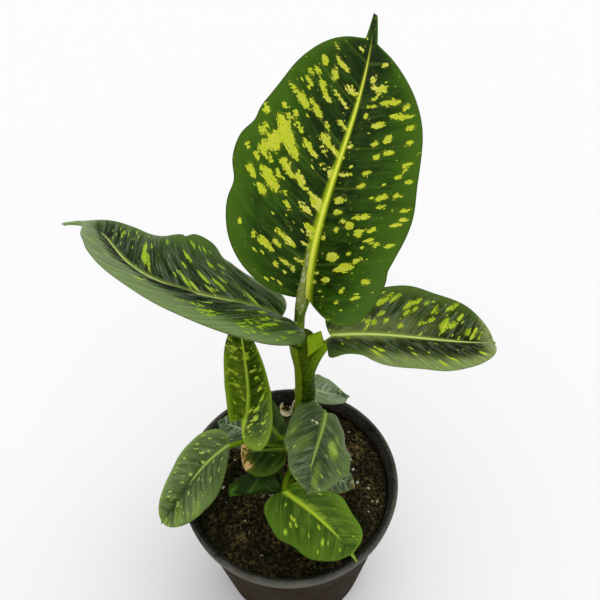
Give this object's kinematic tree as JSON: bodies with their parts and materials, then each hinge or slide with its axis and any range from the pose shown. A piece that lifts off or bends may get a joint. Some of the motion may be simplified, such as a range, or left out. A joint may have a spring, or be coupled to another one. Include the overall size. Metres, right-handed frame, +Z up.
{
  "type": "potted dieffenbachia",
  "caption": "Young broad-leaved foliage plant with yellow-flecked green leaves on a short cane, in a tapered round nursery pot filled with dark potting mix.",
  "frame": {"origin": "Centre of the pot's flat underside, which is where it stands.", "axes": "+Z is up; +Y points away from the side from which the plant shows its best face; +X is to the right seen from that side."},
  "size_m": [0.2305, 0.14, 0.4194],
  "materials": {
    "pot": "moulded black plastic, dusty on the wall, smooth on the rim",
    "soil": null,
    "stem": null,
    "dry_sheath": "dried leaf sheath, papery",
    "new_leaf": null,
    "leaf": null,
    "low_leaf": null
  },
  "bodies": {
    "root": {"pot": "pot", "soil": "soil", "stem": "stem", "dry_sheath": "dry_sheath", "leaf_new": "new_leaf", "leaf_upright": "leaf", "leaf_left": "leaf", "leaf_right": "leaf", "leaf_over_rim": "low_leaf", "leaf_erect": "leaf", "leaf_drooping": "low_leaf", "leaf_front": "low_leaf", "leaf_rolled": "low_leaf", "leaf_torn": "low_leaf", "leaf_dark": "low_leaf", "leaf_back_left": "low_leaf", "leaf_back_right": "low_leaf", "leaf_low": "low_leaf"}
  },
  "joints": []
}
